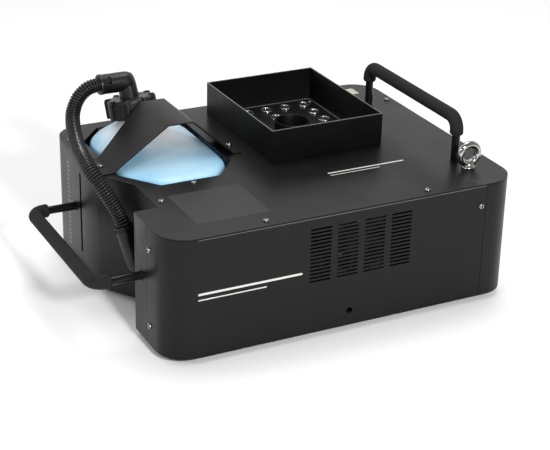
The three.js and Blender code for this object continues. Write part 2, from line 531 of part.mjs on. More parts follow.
add("lamp_hood", hood(), LOOK.coat);
add("bottle_strap", bottleStrap(), LOOK.coat);
add("left_handle_bar", leaning(handleBar(GRIP.out)), LOOK.black);
add("left_handle_grip", leaning(handleGrip(GRIP.out)), LOOK.foam);
add("right_handle_bar", standing(handleBar(GRIP.up)), LOOK.black);
add("right_handle_grip", standing(handleGrip(GRIP.up)), LOOK.foam);
add("safety_eye", safetyEye(), LOOK.chrome);
add("fan_frame", fanFrame(), LOOK.dark);
add("fan_rotor", fanRotor(), LOOK.black);
add("power_board", powerBoard(), LOOK.board);
add("control_board", controlBoard(), LOOK.board);
add("control_panel", controlPanel(), LOOK.black);
BUTTON_X.forEach((x, i) => add(`menu_button_${i + 1}`, menuButton(x), LOOK.dark));
add("power_inlet", powerInlet(), LOOK.black);
add("rocker_frame", rockerFrame(), LOOK.black);
add("rocker_paddle", rockerPaddle(), LOOK.dark);
add("fuse_holder", fuseHolder(), LOOK.black);
add("fuse_cap", fuseCap(), LOOK.dark);
add("dmx_in", dmxSocket(DMX_X[0], true), LOOK.zinc);
add("dmx_out", dmxSocket(DMX_X[1], false), LOOK.zinc);
add("dmx_latch", latchTab(DMX_X[1]), LOOK.zinc);

SCREWS.top.forEach(([x, y], i) => add(`top_screw_${i + 1}`, panScrew([x, y, H], [0, 0, 1]), LOOK.zinc));
SCREWS.strap.forEach(([x, y], i) => {
  add(`strap_screw_${i + 1}`, panScrew([x, y, H + T + GAP / 2], [0, 0, 1]), LOOK.zinc);
});
SCREWS.left.forEach(([y, z], i) => add(`side_screw_${i + 1}`, panScrew([0, y, z], [-1, 0, 0]), LOOK.zinc));
SCREWS.front.forEach(([x, z]) => add("front_screw", panScrew([x, 0, z], [0, -1, 0]), LOOK.zinc));

// The middle of the whole object's box, at floor level, is the origin.
root.position.set(-(W - GRIP.out - GRIP.foam) / 2, -(D + REAR_REACH - SCREW_HEAD) / 2, FOOT_H);
export default root;
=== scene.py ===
"""The looks of an upward-firing fog machine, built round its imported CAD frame.

Every shape is drawn in body millimetres. The origin is the body's sharp near left corner at the base pan,
+X runs right, +Y runs to the connector side and +Z is up. finish_piece() turns them into the frame's metres.
"""
from math import atan2, cos, pi, radians, sin

import bmesh
import bpy
from mathutils import Matrix, Vector


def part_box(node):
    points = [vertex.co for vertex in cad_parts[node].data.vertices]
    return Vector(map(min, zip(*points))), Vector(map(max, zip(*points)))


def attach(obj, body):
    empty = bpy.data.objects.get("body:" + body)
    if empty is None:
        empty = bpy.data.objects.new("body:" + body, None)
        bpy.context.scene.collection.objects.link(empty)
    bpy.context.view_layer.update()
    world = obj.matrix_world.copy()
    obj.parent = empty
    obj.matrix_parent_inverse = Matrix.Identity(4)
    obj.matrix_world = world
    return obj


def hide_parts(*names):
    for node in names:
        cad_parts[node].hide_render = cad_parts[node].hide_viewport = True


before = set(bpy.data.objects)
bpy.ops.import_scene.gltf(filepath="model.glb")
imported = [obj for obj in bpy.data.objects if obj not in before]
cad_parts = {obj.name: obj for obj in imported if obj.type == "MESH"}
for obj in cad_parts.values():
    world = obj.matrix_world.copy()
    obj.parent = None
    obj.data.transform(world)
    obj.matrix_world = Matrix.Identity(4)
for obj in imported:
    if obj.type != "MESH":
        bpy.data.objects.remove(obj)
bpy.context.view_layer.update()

# ---- the body's own millimetres ------------------------------------------------------------------
CORNER = Vector((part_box("tank_wall")[0].x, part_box("front_cover")[0].y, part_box("base_pan")[0].z))
TO_FRAME = Matrix.Translation(CORNER) @ Matrix.Scale(0.001, 4)
TO_BODY = TO_FRAME.inverted()


def at(x, y, z):
    """A point in body millimetres, as a point of the frame."""
    return TO_FRAME @ Vector((x, y, z))


def node_box(node):
    """Lowest and highest corner of a CAD node, in body millimetres."""
    low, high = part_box(node)
    return TO_BODY @ low, TO_BODY @ high


W, D, H = node_box("top_plate")[1]  # the body's right side, connector side and top
T = 1.5  # sheet thickness
X, Y, Z = Vector((1, 0, 0)), Vector((0, 1, 0)), Vector((0, 0, 1))


# ---- materials -----------------------------------------------------------------------------------
class Shader:
    """A material under construction: a Principled shader and the nodes that feed it."""

    def __init__(self, name, rough=0.5, metal=0.0, **sockets):
        self.material = bpy.data.materials.new(name)
        self.material.use_nodes = True
        self.tree = self.material.node_tree
        self.main = self.tree.nodes["Principled BSDF"]
        self.main.inputs["Roughness"].default_value = rough
        self.main.inputs["Metallic"].default_value = metal
        for key, value in sockets.items():
            self.main.inputs[key.replace("_", " ")].default_value = value
        self.place = self.tree.nodes.new("ShaderNodeTexCoord").outputs["Object"]

    def node(self, kind, **values):
        made = self.tree.nodes.new("ShaderNode" + kind)
        for key, value in values.items():
            if key in made.inputs.keys():
                made.inputs[key].default_value = value
            else:
                setattr(made, key, value)
        return made

    def link(self, source, target):
        self.tree.links.new(source, target)

    def noise(self, size_mm, detail=2.0, stretch=(1, 1, 1)):
        """Noise whose blotches are about size_mm across."""
        mapping = self.node("Mapping")
        mapping.inputs["Scale"].default_value = [1000.0 / size_mm / s for s in stretch]
        self.link(self.place, mapping.inputs["Vector"])
        made = self.node("TexNoise", Scale=1.0, Detail=detail)
        self.link(mapping.outputs["Vector"], made.inputs["Vector"])
        return made.outputs["Fac"]

    def cells(self, size_mm):
        mapping = self.node("Mapping")
        mapping.inputs["Scale"].default_value = [1000.0 / size_mm] * 3
        self.link(self.place, mapping.inputs["Vector"])
        made = self.node("TexVoronoi", Scale=1.0)
        self.link(mapping.outputs["Vector"], made.inputs["Vector"])
        return made.outputs["Distance"]

    def ramp(self, source, stops):
        """A colour ramp through (position, colour) stops, fed by source."""
        made = self.node("ValToRGB")
        elements = made.color_ramp.elements
        while len(elements) < len(stops):
            elements.new(0.5)
        for element, (position, colour) in zip(elements, stops):
            element.position = position
            element.color = (*colour, 1)
        self.link(source, made.inputs["Fac"])
        return made.outputs["Color"]

    def vary_colour(self, source, low, high):
        self.link(self.ramp(source, [(0.3, low), (0.7, high)]), self.main.inputs["Base Color"])

    def vary_roughness(self, source, low, high):
        made = self.node("MapRange")
        made.inputs["From Min"].default_value = 0.3
        made.inputs["From Max"].default_value = 0.7
        made.inputs["To Min"].default_value = low
        made.inputs["To Max"].default_value = high
        self.link(source, made.inputs["Value"])
        self.link(made.outputs["Result"], self.main.inputs["Roughness"])

    def bump(self, sources):
        """Bumps laid over each other, each (height source, depth in mm)."""
        previous = None
        for source, depth_mm in sources:
            made = self.node("Bump", Strength=1.0, Distance=depth_mm / 1000.0)
            self.link(source, made.inputs["Height"])
            if previous:
                self.link(previous, made.inputs["Normal"])
            previous = made.outputs["Normal"]
        self.link(previous, self.main.inputs["Normal"])


def scaled(colour, factor):
    return tuple(c * factor for c in colour)


def coat(name, colour, rough):
    """Satin powder coat: fine orange peel, and a faint cloudiness in tone and gloss."""
    s = Shader(name, rough, Specular_IOR_Level=0.2)
    cloud = s.noise(45, 3)
    s.vary_colour(cloud, scaled(colour, 0.86), scaled(colour, 1.16))
    s.vary_roughness(cloud, rough - 0.03, rough + 0.04)
    s.bump([(s.noise(1.5, 1), 0.012), (s.noise(0.45, 2), 0.008)])
    return s.material


def moulding(name, colour, rough, grain_mm=0.7, depth_mm=0.02):
    """Moulded plastic with a spark-eroded grain."""
    s = Shader(name, rough, Specular_IOR_Level=0.4)
    s.vary_colour(s.noise(9, 3), scaled(colour, 0.8), scaled(colour, 1.25))
    s.vary_roughness(s.noise(4, 2), rough - 0.05, rough + 0.06)
    s.bump([(s.noise(grain_mm, 2), depth_mm)])
    return s.material


def foam(name, colour):
    """Closed-cell foam sleeve: dull, softly mottled, with burst cells as small pits."""
    s = Shader(name, 0.86, Specular_IOR_Level=0.3)
    s.vary_colour(s.noise(2.2, 4), scaled(colour, 0.6), scaled(colour, 1.5))
    s.bump([(s.cells(1.1), 0.10), (s.noise(0.5, 2), 0.05), (s.noise(14, 1), 0.25)])
    return s.material


def metal(name, colour, rough, stretch=(1, 1, 1), grain_mm=1.2, depth_mm=0.004):
    """Bare or plated metal; a stretch draws the grain out along an axis, as brushing does."""
    s = Shader(name, rough, 1.0)
    grain = s.noise(grain_mm, 3, stretch)
    s.vary_colour(s.noise(12, 3), scaled(colour, 0.92), scaled(colour, 1.04))
    s.vary_roughness(grain, rough * 0.8, rough * 1.25)
    s.bump([(grain, depth_mm)])
    return s.material


def spangled(name, colour):
    """Galvanised sheet with large zinc crystals."""
    s = Shader(name, 0.42, 1.0)
    crystals = s.cells(9)
    s.vary_colour(crystals, scaled(colour, 0.78), scaled(colour, 1.1))
    s.vary_roughness(crystals, 0.32, 0.5)
    s.bump([(s.noise(1.0, 2), 0.01)])
    return s.material


def bottle_wall(name):
    """Translucent natural polyethylene, with pale blue fluid behind it below the shoulders."""
    s = Shader(name, 0.32)
    s.main.inputs["Subsurface Weight"].default_value = 0.6
    s.main.inputs["Subsurface Scale"].default_value = 0.02
    s.main.inputs["Subsurface Radius"].default_value = (0.7, 0.9, 1.0)
    height = s.node("SeparateXYZ")
    s.link(s.place, height.inputs["Vector"])
    wave = s.node("MapRange")
    s.link(s.noise(55, 2), wave.inputs["Value"])
    wave.inputs["To Min"].default_value = -0.012
    wave.inputs["To Max"].default_value = 0.012
    level = s.node("Math", operation="ADD")
    s.link(height.outputs["Z"], level.inputs[0])
    s.link(wave.outputs["Result"], level.inputs[1])
    span = s.node("MapRange")
    s.link(level.outputs["Value"], span.inputs["Value"])
    span.inputs["From Min"].default_value = at(0, 0, 100).z
    span.inputs["From Max"].default_value = at(0, 0, 190).z
    stops = [(0.0, (0.14, 0.34, 0.52)), (0.36, (0.2, 0.43, 0.62)), (0.48, (0.28, 0.52, 0.69)),
             (0.56, (0.42, 0.62, 0.75)), (0.63, (0.62, 0.74, 0.81)), (0.72, (0.76, 0.79, 0.82)),
             (1.0, (0.8, 0.81, 0.83))]
    tone = s.ramp(span.outputs["Result"], stops)
    s.link(tone, s.main.inputs["Base Color"])
    s.link(tone, s.main.inputs["Emission Color"])
    s.main.inputs["Emission Strength"].default_value = 0.07  # daylight that comes through the thin wall
    s.bump([(s.noise(18, 2), 0.12), (s.noise(1.2, 1), 0.01)])
    return s.material


def clear(name, colour, rough=0.04):
    """Clear moulded plastic with the faint waviness of a cheap lens."""
    s = Shader(name, rough, IOR=1.49)
    s.main.inputs["Transmission Weight"].default_value = 0.92
    s.vary_colour(s.noise(6, 1), scaled(colour, 0.97), colour)
    s.bump([(s.noise(3, 1), 0.01)])
    return s.material


def circuit(name):
    """Green solder mask with darker tracks showing through."""
    s = Shader(name, 0.35)
    s.vary_colour(s.cells(3), (0.012, 0.10, 0.035), (0.03, 0.2, 0.075))
    s.bump([(s.cells(3), 0.05)])
    return s.material


def print_ink(name, colour, rough=0.5):
    """Screen-printed ink or a paper label: a little patchy, as thin ink is."""
    s = Shader(name, rough, Specular_IOR_Level=0.25)
    s.vary_colour(s.noise(1.6, 3), scaled(colour, 0.9), colour)
    s.bump([(s.noise(0.6, 1), 0.006)])
    return s.material


COAT = coat("charcoal_coat", (0.0044, 0.0043, 0.0041), 0.36)
HOOD_COAT = coat("hood_coat", (0.0008, 0.0008, 0.0008), 0.46)
LACQUER = coat("gloss_lacquer", (0.006, 0.006, 0.0065), 0.12)
BLACK = moulding("black_moulding", (0.0045, 0.0045, 0.0047), 0.38)
# Hose black, a little lighter than the other mouldings: partly its own colour, partly a painted highlight on
# the ridge crowns.
HOSE_BLACK = moulding("hose_moulding", (0.009, 0.009, 0.0092), 0.26, 2.0, 0.004)
# A near-black copy for the hose's valleys: painted shade between the ridges.
HOSE_GROOVE_SHADE = moulding("hose_groove_shade", (0.0008, 0.0008, 0.0008), 0.8)
GREY = moulding("grey_moulding", (0.05, 0.05, 0.052), 0.45)
GLOSS = moulding("gloss_moulding", (0.01, 0.01, 0.011), 0.14, 3.0, 0.004)
RUBBER = moulding("foot_rubber", (0.018, 0.018, 0.018), 0.75, 1.2, 0.05)
FOAM = foam("grip_foam", (0.008, 0.008, 0.0082))
CHROME = metal("chrome_plate", (0.42, 0.405, 0.39), 0.09, grain_mm=6, depth_mm=0.001)
ZINC = metal("zinc_plate", (0.27, 0.272, 0.275), 0.22)
# A lighter copy of the charcoal coat: painted highlight for the lit bend and rim lines.
HIGHLIGHT_COAT = coat("painted_highlight_coat", (0.1, 0.1, 0.098), 0.3)
NICKEL = metal("satin_nickel", (0.55, 0.54, 0.52), 0.32)
STEEL = spangled("galvanised", (0.5, 0.52, 0.54))
CAST = metal("cast_aluminium", (0.5, 0.51, 0.52), 0.5, grain_mm=1.6, depth_mm=0.08)
COPPER = metal("copper", (0.78, 0.36, 0.2), 0.28)
BRASS = metal("turned_brass", (0.72, 0.5, 0.2), 0.22, (1, 1, 0.1))
PUMP_PAINT = coat("pump_lacquer", (0.03, 0.032, 0.04), 0.3)
BOTTLE = bottle_wall("polyethylene")
LENS = clear("lens_plastic", (0.2, 0.21, 0.23))
BEZEL = metal("lens_bezel", (0.34, 0.34, 0.35), 0.24)
TUBE = clear("clear_tube", (0.9, 0.94, 0.96), 0.15)
BOARD = circuit("circuit_board")
PALE_INK = print_ink("pale_ink", (0.6, 0.6, 0.58))
TICK_INK = print_ink("tick_ink", (0.26, 0.26, 0.25))
LABEL = print_ink("blank_label", (0.026, 0.026, 0.0255), 0.5)
STICKER = print_ink("cream_sticker", (0.62, 0.58, 0.45), 0.6)
CHIP = print_ink("lamp_chip", (0.3, 0.25, 0.09), 0.4)
REFLECTOR = metal("lamp_reflector", (0.16, 0.16, 0.17), 0.16, grain_mm=6, depth_mm=0.002)
SMOKED = moulding("smoked_window", (0.004, 0.004, 0.005), 0.06, 8.0, 0.002)


# ---- finishing a piece ---------------------------------------------------------------------------
def finish_piece(name, bm, material, body="housing", stands_for=(), edge=0.0, steps=2, smooth=35):
    """Turns a bmesh in body millimetres into a piece that rides on a CAD body."""
    mesh = bpy.data.meshes.new(name)
    bmesh.ops.recalc_face_normals(bm, faces=bm.faces)
    bm.to_mesh(mesh)
    bm.free()
    mesh.transform(TO_FRAME)
    mesh.materials.append(material)
    mesh.polygons.foreach_set("use_smooth", [True] * len(mesh.polygons))
    mesh.set_sharp_from_angle(angle=radians(smooth))
    piece = bpy.data.objects.new(name, mesh)
    bpy.context.scene.collection.objects.link(piece)
    if edge:
        rounding = piece.modifiers.new("edges", "BEVEL")
        rounding.width = edge / 1000
        rounding.segments = steps
        rounding.limit_method = "ANGLE"
        rounding.angle_limit = radians(smooth)
        rounding.harden_normals = True
    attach(piece, body)
    if stands_for:
        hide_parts(*stands_for)
    return piece


def cad_mesh(node):
    """A copy of a CAD node's mesh in body millimetres, with its flat faces whole again."""
    bm = bmesh.new()
    bm.from_mesh(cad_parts[node].data)
    bmesh.ops.transform(bm, matrix=TO_BODY, verts=bm.verts)
    bmesh.ops.remove_doubles(bm, verts=bm.verts, dist=0.002)
    bmesh.ops.dissolve_limit(bm, angle_limit=radians(0.5), verts=bm.verts, edges=bm.edges)
    return bm


def refined(node, material, edge=0.35, steps=2, round_edges=None, round_mm=1.0, body="housing"):
    """The CAD node's own shape with eased edges; round_edges picks edges to round further first."""
    bm = cad_mesh(node)
    if round_edges:
        chosen = [e for e in bm.edges
                  if e.is_manifold and e.calc_face_angle(0) > radians(40) and round_edges(e)]
        bmesh.ops.bevel(bm, geom=chosen, offset=round_mm, segments=4, profile=0.5, affect="EDGES")
    return finish_piece(node + "_fine", bm, material, body, [node], edge, steps)


# ---- shapes --------------------------------------------------------------------------------------
def circle(r, n):
    return [(r * cos(2 * pi * i / n), r * sin(2 * pi * i / n)) for i in range(n)]


def skin(bm, rings, closed=False):
    """Joins rings of points into one skin, with flat ends unless it closes on itself."""
    rows = [[bm.verts.new(p) for p in ring] for ring in rings]
    pairs = list(zip(rows, rows[1:])) + ([(rows[-1], rows[0])] if closed else [])
    for a, b in pairs:
        for i in range(len(a)):
            j = (i + 1) % len(a)
            bm.faces.new((a[i], a[j], b[j], b[i]))
    if not closed:
        bm.faces.new(rows[0][::-1])
        bm.faces.new(rows[-1])
    return bm


def frame_along(direction):
    """A rotation that takes +Z to direction."""
    return Vector(direction).to_track_quat("Z", "Y").to_matrix().to_4x4()


def turned(profile, n=48, place=Matrix(), bm=None, closed=False):
    """A solid of revolution from [radius, z] pairs, with its axis put at place."""
    bm = bm or bmesh.new()
    return skin(bm, [[place @ Vector((x, y, z)) for x, y in circle(r, n)] for r, z in profile], closed)


def pose_at(point, direction=Z):
    return Matrix.Translation(Vector(point)) @ frame_along(direction)


def block(bm, low, high, place=Matrix()):
    """A box between two corners."""
    low, high = Vector(low), Vector(high)
    size = high - low
    matrix = place @ Matrix.Translation((low + high) / 2) @ Matrix.Diagonal((*size, 1))
    bmesh.ops.create_cube(bm, size=1.0, matrix=matrix)
    return bm


def rounded(points, radius, n=6):
    """A plan outline with every corner rounded."""
    out = []
    count = len(points)
    for i, p in enumerate(points):
        p = Vector(p)
        a, b = Vector(points[i - 1]) - p, Vector(points[(i + 1) % count]) - p
        reach = min(radius, a.length / 2.2, b.length / 2.2)
        start, end = p + a.normalized() * reach, p + b.normalized() * reach
        for k in range(n + 1):
            t = k / n
            out.append(start * (1 - t) ** 2 + p * (2 * t * (1 - t)) + end * t * t)
    return out


def plate(outline, z0, z1, place=Matrix(), bm=None):
    """A flat plate from a plan outline."""
    return skin(bm or bmesh.new(), [[place @ Vector((p[0], p[1], z)) for p in outline] for z in (z0, z1)])


def box_outline(x0, x1, y0, y1):
    return [(x0, y0), (x1, y0), (x1, y1), (x0, y1)]


def spline(points, per_span=12):
    """Centripetal Catmull-Rom points through a list of points."""
    p = [Vector(q) for q in points]
    p = [2 * p[0] - p[1], *p, 2 * p[-1] - p[-2]]
    out = []
    for i in range(len(p) - 3):
        a, b, c, d = p[i:i + 4]
        t1 = (b - a).length ** 0.5
        t2 = t1 + (c - b).length ** 0.5
        t3 = t2 + (d - c).length ** 0.5
        for k in range(per_span):
            t = t1 + (t2 - t1) * k / per_span
            ab, bc, cd = a.lerp(b, t / t1), b.lerp(c, (t - t1) / (t2 - t1)), c.lerp(d, (t - t2) / (t3 - t2))
            out.append(ab.lerp(bc, t / t2).lerp(bc.lerp(cd, (t - t1) / (t3 - t1)), (t - t1) / (t2 - t1)))
    return out + [p[-2]]


def resampled(points, stations):
    """The points at given distances along a line."""
    lengths = [0.0]
    for a, b in zip(points, points[1:]):
        lengths.append(lengths[-1] + (b - a).length)
    out, k = [], 0
    for s in stations:
        while k + 2 < len(lengths) and lengths[k + 1] < s:
            k += 1
        t = (s - lengths[k]) / (lengths[k + 1] - lengths[k])
        out.append(points[k].lerp(points[k + 1], t))
    return out


def run_length(points):
    return sum((b - a).length for a, b in zip(points, points[1:]))


def swept(points, radii, n=32):
    """A round bar along points, with a radius at each, and no twist."""
    points = [Vector(p) for p in points]
    last = len(points) - 1
    up, rings = None, []
    for i, p in enumerate(points):
        ahead = (points[min(i + 1, last)] - points[max(i - 1, 0)]).normalized()
        if up is None:
            up = ahead.orthogonal().normalized()
        up = (up - ahead * up.dot(ahead)).normalized()
        side = ahead.cross(up)
        rings.append([p + up * x + side * y for x, y in circle(radii[i], n)])
    return skin(bmesh.new(), rings)


def arc_points(centre, radius, start, end, n, u=Y, v=Z):
    """Points on an arc in the plane of u and v, with angles in degrees."""
    angles = [radians(start + (end - start) * i / n) for i in range(n + 1)]
    return [Vector(centre) + u * (radius * cos(a)) + v * (radius * sin(a)) for a in angles]


def carved(name, solid, *tools, operation="DIFFERENCE"):
    """The bmesh solid with the bmesh tools cut from it, or joined to it."""
    def temporary(label, bm):
        mesh = bpy.data.meshes.new(label)
        bmesh.ops.recalc_face_normals(bm, faces=bm.faces)
        bm.to_mesh(mesh)
        bm.free()
        obj = bpy.data.objects.new(label, mesh)
        bpy.context.scene.collection.objects.link(obj)
        return obj

    base = temporary(name, solid)
    others = [temporary(f"{name}_tool", tool) for tool in tools]
    for other in others:
        step = base.modifiers.new("cut", "BOOLEAN")
        step.operation, step.solver, step.object = operation, "EXACT", other
    bpy.context.view_layer.update()
    result = bmesh.new()
    result.from_object(base, bpy.context.evaluated_depsgraph_get())
    for obj in (base, *others):
        bpy.data.objects.remove(obj)
    bmesh.ops.remove_doubles(result, verts=result.verts, dist=0.001)
    bmesh.ops.dissolve_limit(result, angle_limit=radians(0.5), verts=result.verts, edges=result.edges)
    return result


def fused(name, first, *others):
    return carved(name, first, *others, operation="UNION")


# ---- camera and light ----------------------------------------------------------------------------
def camera():
    """The viewing angle: a long lens from the front left, looking down on the machine."""
    data = bpy.data.cameras.new("camera")
    eye, aim, roll = at(-565.0, -1343.0, 840.4), at(204.8, 152.5, 69.1), radians(1.35)
    data.sensor_width, data.lens, data.shift_y = 36.0, 101.05, -0.0061
    data.clip_start, data.clip_end = 0.05, 30
    obj = bpy.data.objects.new("camera", data)
    turn = (aim - eye).to_track_quat("-Z", "Y").to_matrix() @ Matrix.Rotation(roll, 3, "Z")
    obj.matrix_world = Matrix.Translation(eye) @ turn.to_4x4()
    bpy.context.scene.collection.objects.link(obj)
    bpy.context.scene.camera = obj


def lamp(name, where, towards, size, power):
    data = bpy.data.lights.new(name, "AREA")
    data.shape, data.size, data.size_y = "RECTANGLE", size, size
    data.energy = power
    obj = bpy.data.objects.new(name, data)
    turn = (Vector(towards) - Vector(where)).to_track_quat("-Z", "Y").to_matrix().to_4x4()
    obj.matrix_world = Matrix.Translation(where) @ turn
    bpy.context.scene.collection.objects.link(obj)


def studio():
    """A pale floor, a surround that is brighter behind the machine, and three soft boxes."""
    world = bpy.data.worlds.new("surround")
    world.use_nodes = True
    tree = world.node_tree
    direction = tree.nodes.new("ShaderNodeTexCoord").outputs["Generated"]
    split = tree.nodes.new("ShaderNodeSeparateXYZ")
    fade = tree.nodes.new("ShaderNodeMapRange")
    fade.interpolation_type = "SMOOTHSTEP"
    for key, value in (("From Min", -0.75), ("From Max", 0.7), ("To Min", 0.35), ("To Max", 1.15)):
        fade.inputs[key].default_value = value
    tree.links.new(direction, split.inputs["Vector"])
    tree.links.new(split.outputs["Y"], fade.inputs["Value"])
    dome = tree.nodes.new("ShaderNodeMapRange")
    dome.interpolation_type = "SMOOTHSTEP"
    for key, value in (("From Min", 0.43), ("From Max", 0.56), ("To Min", 1.0), ("To Max", 0.66)):
        dome.inputs[key].default_value = value
    tree.links.new(split.outputs["Z"], dome.inputs["Value"])
    strength = tree.nodes.new("ShaderNodeMath")
    strength.operation = "MULTIPLY"
    tree.links.new(fade.outputs["Result"], strength.inputs[0])
    tree.links.new(dome.outputs["Result"], strength.inputs[1])
    tree.links.new(strength.outputs["Value"], tree.nodes["Background"].inputs["Strength"])
    tree.nodes["Background"].inputs["Color"].default_value = (1.0, 1.0, 1.0, 1)
    bpy.context.scene.world = world
    bpy.context.scene.view_settings.view_transform = "Standard"
    bm = bmesh.new()
    bmesh.ops.create_grid(bm, x_segments=1, y_segments=1, size=9)
    mesh = bpy.data.meshes.new("floor")
    bm.to_mesh(mesh)
    bm.free()
    paper = Shader("studio_paper", 0.9)
    paper.vary_colour(paper.noise(300, 2), (0.93, 0.93, 0.93), (0.95, 0.95, 0.95))
    mesh.materials.append(paper.material)
    floor = bpy.data.objects.new("floor", mesh)
    bpy.context.scene.collection.objects.link(floor)
    lamp("key", (-1.9, -0.7, 1.5), (0, 0, 0.1), 0.3, 9)
    lamp("top", (0.4, 0.5, 2.2), (0, 0, 0), 1.2, 20)
    lamp("front", (-0.2, -2.3, 1.3), (0, 0, 0.1), 0.3, 52)


# ---- screws --------------------------------------------------------------------------------------
# Head radius and height of each kind of screw.
CAD_SCREW, SMALL_SCREW, FOOT_SCREW = (3.6, 2.3), (2.6, 1.7), (2.3, 1.6)


def phillips(r, top, reach):
    """Two crossed wedges that cut a cross recess."""
    wedges = []
    for turn in (0, pi / 2):
        place = Matrix.Rotation(turn + 0.6, 4, "Z")
        half = r * 0.62
        low = box_outline(-half * 0.45, half * 0.45, -0.32 * reach, 0.32 * reach)
        high = box_outline(-half, half, -0.45 * reach, 0.45 * reach)
        wedges.append(skin(bmesh.new(), [[place @ Vector((x, y, top - 1.5 * reach)) for x, y in low],
                                         [place @ Vector((x, y, top + 0.2)) for x, y in high]]))
    return wedges


def screw_mesh(r, height):
    """One pan-head screw standing on z = 0, head up."""
    rise = height / 2.3
    profile = [(r * 0.5, -6 * rise), (r * 0.5, 0.15), (r, 0.15), (r, 0.55 * rise), (r * 0.985, 1.0 * rise),
               (r * 0.93, 1.45 * rise), (r * 0.8, 1.85 * rise), (r * 0.6, 2.15 * rise),
               (r * 0.3, 2.28 * rise)]
    bm = carved("screw", turned(profile, 32), *phillips(r, height, r / 3.0))
    mesh = bpy.data.meshes.new("screw")
    bm.to_mesh(mesh)
    bm.free()
    mesh.transform(Matrix.Scale(0.001, 4))
    mesh.materials.append(ZINC)
    mesh.polygons.foreach_set("use_smooth", [True] * len(mesh.polygons))
    mesh.set_sharp_from_angle(angle=radians(32))
    return mesh


def screw(name, mesh, point, out, node=None, spin=0.0):
    obj = bpy.data.objects.new(name, mesh)
    bpy.context.scene.collection.objects.link(obj)
    obj.matrix_world = Matrix.Translation(at(*point)) @ frame_along(out) @ Matrix.Rotation(spin, 4, "Z")
    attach(obj, "housing")
    if node:
        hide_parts(node)


def cad_screws():
    """A detailed screw for each CAD screw, under its head and on its axis."""
    mesh = screw_mesh(*CAD_SCREW)
    outward = {"top": Z, "strap": Z, "side": -X, "front": -Y}
    names = [f"top_screw_{i}" for i in range(1, 7)] + ["strap_screw_1", "strap_screw_2", "side_screw_1",
                                                       "side_screw_2", "front_screw"]
    for i, node in enumerate(names):
        low, high = node_box(node)
        out = outward[node.split("_")[0]]
        middle = (low + high) / 2
        head = [high[k] if out[k] > 0 else low[k] for k in range(3)]
        seat = [head[k] - CAD_SCREW[1] * out[k] if out[k] else middle[k] for k in range(3)]
        screw(node + "_fine", mesh, seat, out, node, spin=0.7 * i)


def small_screws():
    """Fasteners of the fittings on the connector side and of the right cover, too small for the CAD."""
    mesh = screw_mesh(*SMALL_SCREW)
    panel = [(190, D + 3.0, 72), (280, D + 3.0, 72), (190, D + 3.0, 118), (280, D + 3.0, 118)]
    inlet = [(315, D + 3.0, 40), (353, D + 3.0, 40)]
    sockets = [(x + dx, D + 2.2, 40 + dz) for x in (150, 108) for dx, dz in ((-9.8, 12.4), (9.8, -12.4))]
    rims = [(x, D, z) for x in (72, 391) for z in (9, 132)] + [(230, D, 9), (230, D, 132)]
    for i, point in enumerate(panel + inlet + sockets + rims):
        screw(f"rear_fixing_{i + 1}", mesh, point, Y, spin=0.9 * i)
    for i, (y, z) in enumerate([(70, 9), (70, 132), (290, 9), (290, 132)]):
        screw(f"right_fixing_{i + 1}", mesh, (W, y, z), X, spin=1.1 * i)


# ---- body sheets ---------------------------------------------------------------------------------
def along_y(edge):
    """True for a short edge through a sheet that stands across Y."""
    d = edge.verts[1].co - edge.verts[0].co
    return abs(d.y) > 1.2 and abs(d.x) < 0.1 and abs(d.z) < 0.1


def along_x(edge):
    d = edge.verts[1].co - edge.verts[0].co
    return abs(d.x) > 1.2 and abs(d.y) < 0.1 and abs(d.z) < 0.1


def sheets():
    """The folded covers: CAD shapes with eased edges, and round ends on the slots."""
    refined("front_cover", COAT, 0.3, 2,
            lambda e: along_y(e) and 60 < e.verts[0].co.z < 132 and 165 < e.verts[0].co.x < 305, 0.9)
    refined("tank_wall", COAT, 0.3, 2,
            lambda e: along_x(e) and 255 < e.verts[0].co.y < 270 and e.verts[0].co.x < 2, 1.8)
    for node in ("right_cover", "rear_cover", "base_pan"):
        refined(node, COAT, 0.3)
    refined("top_plate", COAT, 0.4)
    refined("lamp_hood", HOOD_COAT, 0.45, 3)
    refined("bottle_strap", COAT, 0.5, 3)
    refined("bay_partition", STEEL, 0.3)
    # A strip along the front cover's top bend in the lighter coat: a painted highlight line.
    bend = block(bmesh.new(), (36, -0.2, H - 2.9), (399.4, 0.2, H - 2.0))
    finish_piece("front_cover_bend_highlight", bend, HIGHLIGHT_COAT, edge=0.15)
    # The lamp hood's top edge in the same lighter coat: a painted highlight rim.
    low, high = node_box("lamp_hood")
    rim = bmesh.new()
    outer = box_outline(low.x, high.x, low.y, high.y)
    inner = box_outline(low.x + T, high.x - T, low.y + T, high.y - T)
    foot, crest = high.z - 0.5, high.z + 0.02
    rows = ((outer, foot), (outer, crest), (inner, crest), (inner, foot))
    skin(rim, [[Vector((*p, z)) for p in path] for path, z in rows], closed=True)
    finish_piece("lamp_hood_rim_highlight", rim, HIGHLIGHT_COAT, edge=0.12)
    refined("heater_bracket", STEEL, 0.4)


